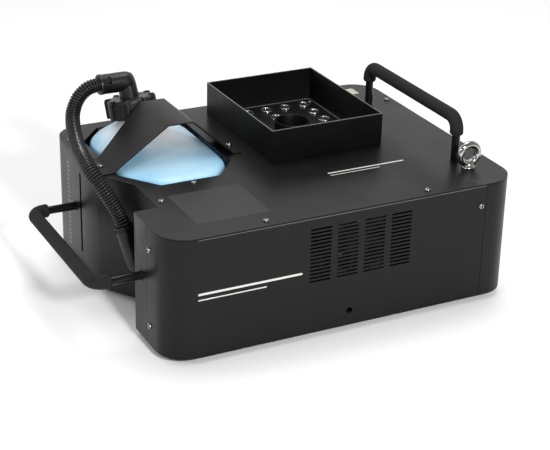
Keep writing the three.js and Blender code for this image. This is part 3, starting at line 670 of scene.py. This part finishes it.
def printed_marks():
    """Plain marks: level ticks, a blank rating label, a blank sticker and unlettered rules."""
    ticks = bmesh.new()
    for i in range(20):
        z = 16.5 + i * 5.6
        block(ticks, (-0.06, 301, z - 0.9), (0.0, 309, z + 0.9))
    finish_piece("level_ticks", ticks, TICK_INK)
    label = plate(rounded(box_outline(50, 138, 33, 116), 3), H, H + 0.08)
    finish_piece("blank_rating_label", label, LABEL)
    sticker = plate(rounded(box_outline(402.5, 415, 325, 346), 2), H, H + 0.1)
    finish_piece("blank_sticker", sticker, STICKER)
    front = bmesh.new()
    place = Matrix(((1, 0, 0, 0), (0, 0, -1, 0), (0, 1, 0, 0), (0, 0, 0, 1)))
    plate(rounded(box_outline(36, 162, 76.4, 79.0), 1.2), 0, 0.06, place, front)
    plate(rounded(box_outline(36, 118, 70.2, 71.6), 0.7), 0, 0.06, place, front)
    finish_piece("front_rules", front, PALE_INK)
    top = bmesh.new()
    plate(rounded(box_outline(246, 348, 100, 102.6), 1.2), H, H + 0.06, bm=top)
    plate(rounded(box_outline(246, 312, 94, 95.4), 0.7), H, H + 0.06, bm=top)
    finish_piece("top_rules", top, PALE_INK)


# ---- bottle, cap and hose ------------------------------------------------------------------------
NECK = Vector((90, 314, 158))
TILT, LEAN = radians(12), radians(5.5)
NECK_PLACE = Matrix.Translation(NECK) @ Matrix.Rotation(-LEAN, 4, "Y") @ Matrix.Rotation(-TILT, 4, "X")
BAY = [(56, 147.5), (130, 147.5), (160, 183), (160, 312), (134, 345), (52, 345), (22, 309), (22, 193)]
HOSE_RUN = [
    (60, 324.6, 207.9), (47, 324.6, 207.9), (35, 324.2, 205.5), (22, 321.5, 196.5), (12, 314, 183),
    (6, 299, 172), (0, 275, 165.5), (-6, 245, 161.5), (-9.5, 216, 158.5), (-9.2, 197, 152),
    (-2, 183, 138.5), (5, 174.5, 123.5),
    (11.3, 165.8, 108.6), (14, 160.6, 99.6), (15, 158.1, 92.6), (15.6, 156.4, 88),
]
# How the bottle's shoulders rise: the part of the way in from the wall to the neck, and the height there.
SHOULDER = [(0.004, 137.5), (0.012, 139.6), (0.028, 141.8), (0.052, 143.6), (0.085, 145), (0.13, 146.3),
            (0.2, 147.9), (0.3, 150), (0.42, 152.4), (0.55, 154.9), (0.68, 157.2), (0.8, 159.2), (0.9, 160.9),
            (0.97, 162.2)]


def necked(r, angle, t):
    """A point on the bottle neck's cylinder."""
    return NECK_PLACE @ Vector((r * cos(angle), r * sin(angle), t))


def bottle():
    """A blow-moulded bottle: eight soft sides, shoulders that sweep up to a leaning neck."""
    inset = 3.8
    middle = Vector((91, 246))
    corners = []
    for i, p in enumerate(BAY):
        before, here, after = Vector(BAY[i - 1]), Vector(p), Vector(BAY[(i + 1) % len(BAY)])
        inward = ((before - here).normalized() + (after - here).normalized()).normalized()
        corners.append(here + inward * inset * 1.12)
    outline = rounded(corners, 16, 9)
    angles = [atan2(p.y - NECK.y, p.x - NECK.x) for p in outline]

    def level(shrink, z):
        return [Vector((*(p + (middle - p).normalized() * shrink), z)) for p in outline]

    rings = [level(shrink, z) for shrink, z in
             ((9, 2.4), (4, 3.4), (1, 6.5), (0, 11), (0, 60), (0, 112), (0, 134))]
    for out, z in SHOULDER:
        ring = []
        for p, a in zip(outline, angles):
            neck = necked(21.5, a, 0)
            corner = 1 - 0.05 * (1 - cos(4 * a)) * (4 * out * (1 - out))
            ring.append(Vector((p.x + (neck.x - p.x) * out, p.y + (neck.y - p.y) * out,
                                136 + (z - 136) * corner + (neck.z - NECK.z) * out ** 1.5)))
        rings.append(ring)
    for r, t in ((21.4, 5.4), (21.4, 7), (21.4, 25)):
        rings.append([necked(r, a, t) for a in angles])
    finish_piece("fluid_bottle_fine", skin(bmesh.new(), rings), BOTTLE,
                 stands_for=["fluid_bottle"], smooth=60)


def cap():
    """The screw cap: a facetted skirt with eight upright lugs, and a raised ring round its hole."""
    profile = [(22.7, 8), (27.8, 8), (28.3, 8.6), (28.4, 9.5), (28.4, 28.4), (27.9, 29.9), (26.6, 30.9),
               (24.5, 31.2), (17.5, 31.3), (16.6, 30.7), (12.4, 30.7), (11.9, 31.3), (10.6, 31.3),
               (10.3, 29.8), (22.7, 29.4)]
    body = turned(profile, 96, NECK_PLACE, closed=True)
    lugs, hollows = [], []
    for i in range(8):
        side = NECK_PLACE @ Matrix.Rotation(radians(45 * i + 18), 4, "Z")
        outline = rounded(box_outline(24.6, 32, -2.2, 2.2), 1.3, 4)
        rows = [(outline, 8.4), (outline, 28.2), ([(x * 0.985, y) for x, y in outline], 30.6),
                ([(x * 0.95, y * 0.94) for x, y in outline], 32),
                ([(x * 0.91, y * 0.8) for x, y in outline], 32.5)]
        lugs.append(skin(bmesh.new(), [[side @ Vector((x, y, z)) for x, y in row] for row, z in rows]))
        between = NECK_PLACE @ Matrix.Rotation(radians(45 * i + 40.5), 4, "Z")
        hollows.append(plate(circle(60, 96), 10.5, 28.2, between @ Matrix.Translation((87.4, 0, 0))))
    piece = fused("cap", carved("cap", body, *hollows), *lugs)
    finish_piece("bottle_cap_fine", piece, BLACK, "cap", ["bottle_cap"], 0.35, 2, 40)
    ribs = bmesh.new()
    for i in range(8):
        for step in (-15.5, 15.5):
            turn = Matrix.Rotation(radians(45 * i + 40.5 + step), 4, "Z")
            plate(rounded(box_outline(27, 28.9, -0.55, 0.55), 0.4, 2), 10.3, 28.6, NECK_PLACE @ turn, ribs)
    finish_piece("bottle_cap_ribs", ribs, BLACK, "cap", smooth=40)


def elbow():
    """The hose elbow on the cap: a tapered riser, a stout barrel to the left with a lip and a clip window."""
    y, z = HOSE_RUN[0][1], HOSE_RUN[0][2]
    riser = turned([(9.5, 18), (9.5, 31.5), (11.9, 31.8), (11.9, 34), (11.6, 40), (11.3, 46), (10.7, 51),
                    (9.8, 55.4), (8.4, 58.8), (6.4, 60.9), (3, 61.9)], 48, NECK_PLACE)
    across = Matrix.Translation((90, y, z)) @ Matrix.Rotation(-pi / 2, 4, "Y")
    barrel = turned([(4, -3.2), (7.5, -2.2), (10, -0.2), (11.5, 2.6), (12.15, 6), (12.2, 9), (12.2, 36.8),
                     (12.5, 37.4), (12.6, 38.6), (12.6, 40.2), (12.1, 41.2), (11.2, 41.5)], 56, across)
    socket = turned([(9.5, 27), (9.5, 40.3), (10.4, 42)], 48, across)
    clip = across @ Matrix.Rotation(radians(38), 4, "Z")
    window = block(bmesh.new(), (-4.6, -15, 27.6), (4.6, -8, 32.6), clip)
    body = carved("elbow", fused("elbow", riser, barrel), socket, window)
    finish_piece("cap_elbow_fine", body, BLACK, stands_for=["cap_elbow"],
                 edge=0.4, steps=3, smooth=40)
    tongue = block(bmesh.new(), (-3.2, -12.5, 28.9), (3.2, -10.4, 34.6), clip)
    finish_piece("elbow_clip", tongue, BLACK, edge=0.35, smooth=40)


def hose():
    """The corrugated conduit, ring by ring, from the elbow down into its boot, with painted shade in the
    valleys.
    """
    run = spline(HOSE_RUN)
    total = run_length(run)
    pitch, sides = 3.3, 40
    shape = [(0.0, 7.0), (0.22, 7.0), (0.3, 7.9), (0.38, 8.6), (0.48, 8.93), (0.6, 9.0), (0.72, 8.93),
             (0.82, 8.6), (0.9, 7.9)]
    stations, radii = [], []
    for ring in range(int(total / pitch)):
        for part, r in shape:
            stations.append((ring + part) * pitch)
            radii.append(r)
    centres = resampled(run, stations)
    piece = finish_piece("fluid_hose_fine", swept(centres, radii, sides), HOSE_BLACK,
                         stands_for=["fluid_hose"], smooth=60)
    # The narrow valleys take the near-black copy: painted shade between the ridges.
    piece.data.materials.append(HOSE_GROOVE_SHADE)
    for row in range(len(centres) - 1):
        if radii[row] < 7.5 or radii[row + 1] < 7.5:
            for face in range(row * sides, (row + 1) * sides):
                piece.data.polygons[face].material_index = 1


def boot():
    """The tapered boot that takes the hose and turns into the wall of the notch."""
    top, low = Vector((14.6, 159.3, 96)), Vector((19.4, 145.8, 57))
    down = low - top
    place = pose_at(top, down)
    shell = turned([(9.7, 0.2), (11.2, 0), (11.6, 0.6), (11.6, 7.4), (11.2, 8.4), (10.9, 12), (10.2, 21),
                    (9.2, 31), (8.4, 41.3)], 48, place)
    last = place @ Vector((0, 0, 40))
    foot_run = spline([last, (20.6, 144.4, 52.6), (24.4, 143, 50), (30, 143, 50), (36, 143, 50)], 8)
    foot = swept(foot_run, [8.1] * len(foot_run), 40)
    socket = turned([(9.5, -2), (9.5, 22)], 48, place)
    slots = []
    for a in (20, 110, 200, 290):
        turn = place @ Matrix.Rotation(radians(a), 4, "Z")
        slots.append(block(bmesh.new(), (8.6, -1.9, 1.8), (13.5, 1.9, 6.6), turn))
        slots.append(block(bmesh.new(), (10.1, -2.6, 11), (13.5, 2.6, 20.5), turn))
    body = carved("boot", fused("boot", shell, foot), socket, *slots)
    finish_piece("hose_boot_fine", body, BLACK, stands_for=["hose_boot"], edge=0.3,
                 smooth=40)


# ---- handles and eye -----------------------------------------------------------------------------
GRIP = {"y0": 77, "y1": 283, "bend": 15, "rod": 4.9, "foam": 8.4}


def handle_run(base, out, reach, start):
    """The U of a handle: from the body at base, out along out to its reach, over, and back."""
    y0, y1, bend = (GRIP[k] for k in ("y0", "y1", "bend"))
    base = Vector(base)
    corner = [base + Y * y + out * (reach - bend) for y in (y0 + bend, y1 - bend)]
    run = [base + Y * y0 + out * start]
    run += arc_points(corner[0], bend, 180, 90, 12, Y, out)
    middle = corner[0] + out * bend, corner[1] + out * bend
    run += [middle[0].lerp(middle[1], k / 10) for k in range(1, 10)]
    run += arc_points(corner[1], bend, 90, 0, 12, Y, out)
    return run + [base + Y * y1 + out * start]


def handle(side, base, out, reach, depth):
    bar = handle_run(base, out, reach, -depth)
    finish_piece(f"{side}_handle_bar_fine", swept(bar, [GRIP["rod"]] * len(bar), 32), LACQUER,
                 stands_for=[f"{side}_handle_bar"])
    sleeve = handle_run(base, out, reach, reach - GRIP["bend"] - 4.5)
    total = run_length(sleeve)
    count = 110
    stations = [total * k / count for k in range(count + 1)]
    radii = []
    for s in stations:
        end = min(s, total - s)
        crumple = 0.14 * sin(s * 1.3) * max(0.0, 1 - abs(end - 14) / 12)
        lip = 0.35 * max(0.0, 1 - abs(end - 1.6) / 1.6)
        close = min(1.0, (end / 1.2)) ** 0.5
        radii.append((GRIP["foam"] - 0.35 + crumple + lip) * (0.9 + 0.1 * close))
    piece = finish_piece(f"{side}_handle_grip_fine", swept(resampled(sleeve, stations), radii, 36), FOAM,
                         stands_for=[f"{side}_handle_grip"], smooth=60)


def handles():
    handle("left", (0, 0, 74), -X, -node_box("left_handle_grip")[0].x - GRIP["foam"], 11)
    handle("right", (404.5, 0, H), Z, node_box("right_handle_grip")[1].z - H - GRIP["foam"], 11)
    washers = bmesh.new()
    for y in (GRIP["y0"], GRIP["y1"]):
        for point, out in (((404.5, y, H), Z), ((0, y, 74), -X)):
            turned([(5.3, 0.05), (6.9, 0.05), (7.0, 0.3), (6.9, 0.62), (5.3, 0.7)], 40, pose_at(point, out),
                   washers, closed=True)
    finish_piece("handle_grommets", washers, BLACK, smooth=50)


def safety_eye():
    """A cast lifting eye: a plump ring on a collar, with a stud through the top plate."""
    x, y, z = 406, 50, 162
    ring_radius, wire_radius = 12, 4.35
    bm = bmesh.new()
    rings = []
    for i in range(72):
        a = 2 * pi * i / 72
        out = Vector((cos(a), 0, sin(a)))
        flat = 1 - 0.04 * max(0.0, -sin(a)) ** 3
        rings.append([Vector((x, y, z)) + out * (ring_radius + wire_radius * p * flat)
                      + Y * (wire_radius * q * flat)
                      for p, q in circle(1, 28)])
    skin(bm, rings, closed=True)
    collar = [(7.7, H + 0.15), (8, H + 0.5), (8, H + 2.1), (7.5, H + 2.6), (6.5, H + 2.9), (6.2, H + 4.2),
              (5.6, H + 5.4), (5.0, H + 7.0)]
    turned(collar, 48, Matrix.Translation((x, y, 0)), bm)
    turned([(4, H - 14), (4, H + 1)], 32, Matrix.Translation((x, y, 0)), bm)
    finish_piece("safety_eye_fine", bm, CHROME, stands_for=["safety_eye"], smooth=50)


# ---- lamps and outlet ----------------------------------------------------------------------------
OUT = Vector((275, 249, 0))
LAMP_Z = 142.5
LAMPS = [
    (OUT.x + i * 26.7, OUT.y + j * 28.4)
    for i in (-2, -1, 0, 1, 2) for j in (-2.5, -1.5, -0.5, 0.5, 1.5, 2.5)
    if abs(i) == 2 or abs(j) == 2.5 or (i == 0 and abs(j) == 1.5)
]


def lamps():
    """The lamp plate with its rim painted light as a highlight line, and a bezel, reflector, chip and lens at
    every lamp.
    """
    tray = box_outline(203.6, 346.4, 159.1, 338.4)
    inner = box_outline(204.8, 345.2, 160.3, 337.2)
    deck = plate(tray, LAMP_Z - T, LAMP_Z)
    wells = bmesh.new()
    for x, y in LAMPS:
        turned([(7.0, LAMP_Z - 4), (7.0, LAMP_Z + 4)], 40, Matrix.Translation((x, y, 0)), wells)
    turned([(22.3, LAMP_Z - 4), (22.3, LAMP_Z + 4)], 64, Matrix.Translation(OUT), wells)
    finish_piece("lamp_plate_fine", carved("lamp_plate", deck, wells), COAT,
                 stands_for=["lamp_plate"], edge=0.2, smooth=40)
    # The plate's rim in the lighter coat: a painted highlight line.
    rim = bmesh.new()
    rows = [[Vector((*p, z)) for p in path] for path, z in
            ((tray, LAMP_Z + 0.1), (tray, LAMP_Z + 1.3), (inner, LAMP_Z + 1.3), (inner, LAMP_Z + 0.1))]
    skin(rim, rows, closed=True)
    finish_piece("lamp_plate_rim_highlight", rim, HIGHLIGHT_COAT, edge=0.25)
    fixing = screw_mesh(*SMALL_SCREW)
    for i, (x, y) in enumerate(((341.6, 327), (304, 244))):
        screw(f"lamp_plate_fixing_{i + 1}", fixing, (x, y, LAMP_Z), Z, spin=1.3 * i)
    bezels, shells, chips, domes = bmesh.new(), bmesh.new(), bmesh.new(), bmesh.new()
    for x, y in LAMPS:
        place = Matrix.Translation((x, y, LAMP_Z))
        turned([(6.7, -1.2), (6.7, 1.0), (7.1, 1.7), (7.7, 1.95), (8.2, 1.7), (8.4, 1.0), (8.4, 0.05),
                (7.0, 0.05), (7.0, -1.2)], 40, place, bezels, closed=True)
        turned([(1.6, -7.4), (3.6, -5.6), (5.4, -3.0), (6.5, -0.6), (6.65, -0.6), (5.6, -3.2), (3.7, -5.9),
                (1.6, -7.7)], 32, place, shells, closed=True)
        block(chips, (x - 1.5, y - 1.5, LAMP_Z - 8.0), (x + 1.5, y + 1.5, LAMP_Z - 7.2))
        dome = [(6.6, -0.5), (6.6, 0.2)]
        dome += [(6.6 * cos(a), 0.2 + 1.5 * sin(a)) for a in (0.3, 0.6, 0.9, 1.2, 1.45)]
        turned(dome, 40, place, domes)
    finish_piece("lens_bezels", bezels, BEZEL, smooth=50)
    finish_piece("lamp_reflectors", shells, REFLECTOR, smooth=50)
    finish_piece("lamp_chips", chips, CHIP, edge=0.2)
    finish_piece("lamp_lenses", domes, LENS, stands_for=["lens_array"], smooth=50)
    carrier = carved("carrier", plate(box_outline(210, 340, 166, 332), 132.6, 134.2),
                     turned([(30, 130), (30, 140)], 48, Matrix.Translation(OUT)))
    finish_piece("lamp_board", carrier, BOARD, edge=0.15)


def outlet():
    """The fog outlet: a rolled collar with a dark bore."""
    profile = [(27, 138.7), (27, 140.3), (22.6, 140.4), (22, 141), (22, 153.6), (21.7, 154.6), (21.1, 155),
               (20.5, 154.8), (20.1, 154), (20.1, 138.7)]
    finish_piece("outlet_collar_fine", turned(profile, 96, Matrix.Translation(OUT), closed=True), HOOD_COAT,
                 stands_for=["outlet_collar"], smooth=50)


# ---- connector side ------------------------------------------------------------------------------
def onto_back(x, z):
    """A place on the connector side, with its own +Z pointing out of the machine."""
    return pose_at((x, D, z), Y)


def control_side():
    """The control panel, its display and buttons, and the connectors."""
    for node in ("control_panel", "power_inlet", "rocker_frame"):
        refined(node, BLACK, 0.4, 3)
    refined("rocker_paddle", GREY, 0.7, 3, body="rocker")
    window = plate(rounded(box_outline(201, 269, 93, 115), 1.5), 0, 0.5,
                   Matrix(((1, 0, 0, 0), (0, 0, 1, D + 1.05), (0, 1, 0, 0), (0, 0, 0, 1))))
    finish_piece("display_window", window, SMOKED, edge=0.15)
    for i, x in enumerate((205, 225, 245, 265)):
        key = turned([(5.6, -10.4), (5.6, -7.4), (4.2, -7.4), (4.2, 3.3), (3.95, 3.9), (3.3, 4.2),
                      (2.4, 4.15), (1.2, 3.95)], 40, onto_back(x, 82))
        finish_piece(f"menu_button_{i + 1}_fine", key, GREY, f"button_{i + 1}",
                     [f"menu_button_{i + 1}"], smooth=40)


def sockets():
    """Three-pin control sockets on square flanges: in with pins, out with holes and a latch."""
    for x, node in ((150, "dmx_in"), (108, "dmx_out")):
        place = onto_back(x, 40)
        flange = plate(rounded(box_outline(-13, 13, -15.5, 15.5), 2.5), 0.2, 2.2, place)
        shell = turned([(11.2, -18), (11.2, 2.6), (10.9, 3.1), (9.6, 3.2)], 64, place)
        contacts = [(4 * cos(a), -4 * sin(a)) for a in (0, 2 * pi / 3, 4 * pi / 3)]
        if node == "dmx_in":
            body = carved(node, fused(node, flange, shell), turned([(8.8, -14), (8.8, 5)], 64, place))
            pins = bmesh.new()
            for a, b in contacts:
                turned([(1.2, -15), (1.2, -1.8), (0.8, -1.1), (0.3, -1.0)], 20,
                       place @ Matrix.Translation((a, b, 0)), pins)
            finish_piece("dmx_in_pins", pins, BRASS, smooth=50)
        else:
            holes = [turned([(1.4, -12), (1.4, 5)], 20, place @ Matrix.Translation((a, b, 0)))
                     for a, b in contacts]
            slot = block(bmesh.new(), (x - 2.6, D - 8, 48.8), (x + 2.6, D + 5, 51.6))
            body = carved(node, fused(node, flange, shell), *holes, slot)
            face = carved("face", turned([(9.2, 2.9), (9.2, 3.3), (8.9, 3.5)], 64, place),
                          *[turned([(1.5, 0), (1.5, 5)], 20, place @ Matrix.Translation((a, b, 0)))
                            for a, b in contacts],
                          block(bmesh.new(), (x - 2.9, D - 8, 48.4), (x + 2.9, D + 5, 52)))
            finish_piece("dmx_out_insert", face, BLACK, smooth=40)
        finish_piece(node + "_fine", body, NICKEL, stands_for=[node], edge=0.25, smooth=40)
    refined("dmx_latch", NICKEL, 0.3, 3, body="latch")


def fuse():
    """The fuse holder's ring and its knurled, slotted cap."""
    place = onto_back(300, 40)
    ring = turned([(6.2, -22), (6.2, 0.2), (8.4, 0.2), (8.4, 1.4), (8.0, 2.0), (5.4, 2.0), (4.9, 1.6),
                   (4.9, -18)], 48, place, closed=True)
    finish_piece("fuse_holder_fine", ring, BLACK, stands_for=["fuse_holder"], smooth=40)
    rows = []
    for base, z in ((4.3, -12.7), (4.3, 2.25), (6.3, 2.3), (6.6, 2.7), (6.6, 6.5), (6.0, 7.1), (4.6, 7.3)):
        knurl = 0.22 if 6.2 < base and 2.5 < z < 7 else 0.0
        rows.append([place @ Vector(((base - knurl * (i % 2)) * cos(2 * pi * i / 72),
                                     (base - knurl * (i % 2)) * sin(2 * pi * i / 72), z)) for i in range(72)])
    slot = block(bmesh.new(), (-5, -0.7, 5.9), (5, 0.7, 9), place)
    body = carved("fuse", skin(bmesh.new(), rows), slot)
    finish_piece("fuse_cap_fine", body, GREY, "fuse", ["fuse_cap"], smooth=30)


def feet():
    """Rubber feet: a soft-edged cone with a recess for its screw."""
    mesh = screw_mesh(*FOOT_SCREW)
    for i, (x, y) in enumerate(((42, 38), (W - 42, 38), (W - 42, 325), (52, 325))):
        profile = [(2.4, -0.4), (11.8, -0.35), (12, -0.7), (10.7, -6.9), (10.2, -7.7), (9.4, -8), (6, -8),
                   (5.4, -7.7), (5.2, -7.2), (5.2, -3), (2.4, -3)]
        foot = turned(profile, 48, Matrix.Translation((x, y, 0)), closed=True)
        finish_piece(f"foot_{i + 1}_fine", foot, RUBBER, stands_for=[f"foot_{i + 1}"],
                     smooth=40)
        screw(f"foot_fixing_{i + 1}", mesh, (x, y, -3), -Z, spin=i)


def inner_parts():
    """CAD nodes that stay as they are and take a better material."""
    looks = {
        "pump": PUMP_PAINT, "pressure_pipe": COPPER, "heater_block": CAST, "fog_nozzle": BRASS,
        "pickup_tube": TUBE, "fan_frame": BLACK, "fan_rotor": GLOSS, "power_board": BOARD,
        "control_board": BOARD,
    }
    for node, material in looks.items():
        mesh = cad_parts[node].data
        mesh.materials.clear()
        mesh.materials.append(material)


# ---- assembly ------------------------------------------------------------------------------------
camera()
studio()
hose()
sheets()
printed_marks()
bottle()
cap()
elbow()
boot()
handles()
safety_eye()
lamps()
outlet()
control_side()
sockets()
fuse()
feet()
cad_screws()
small_screws()
inner_parts()
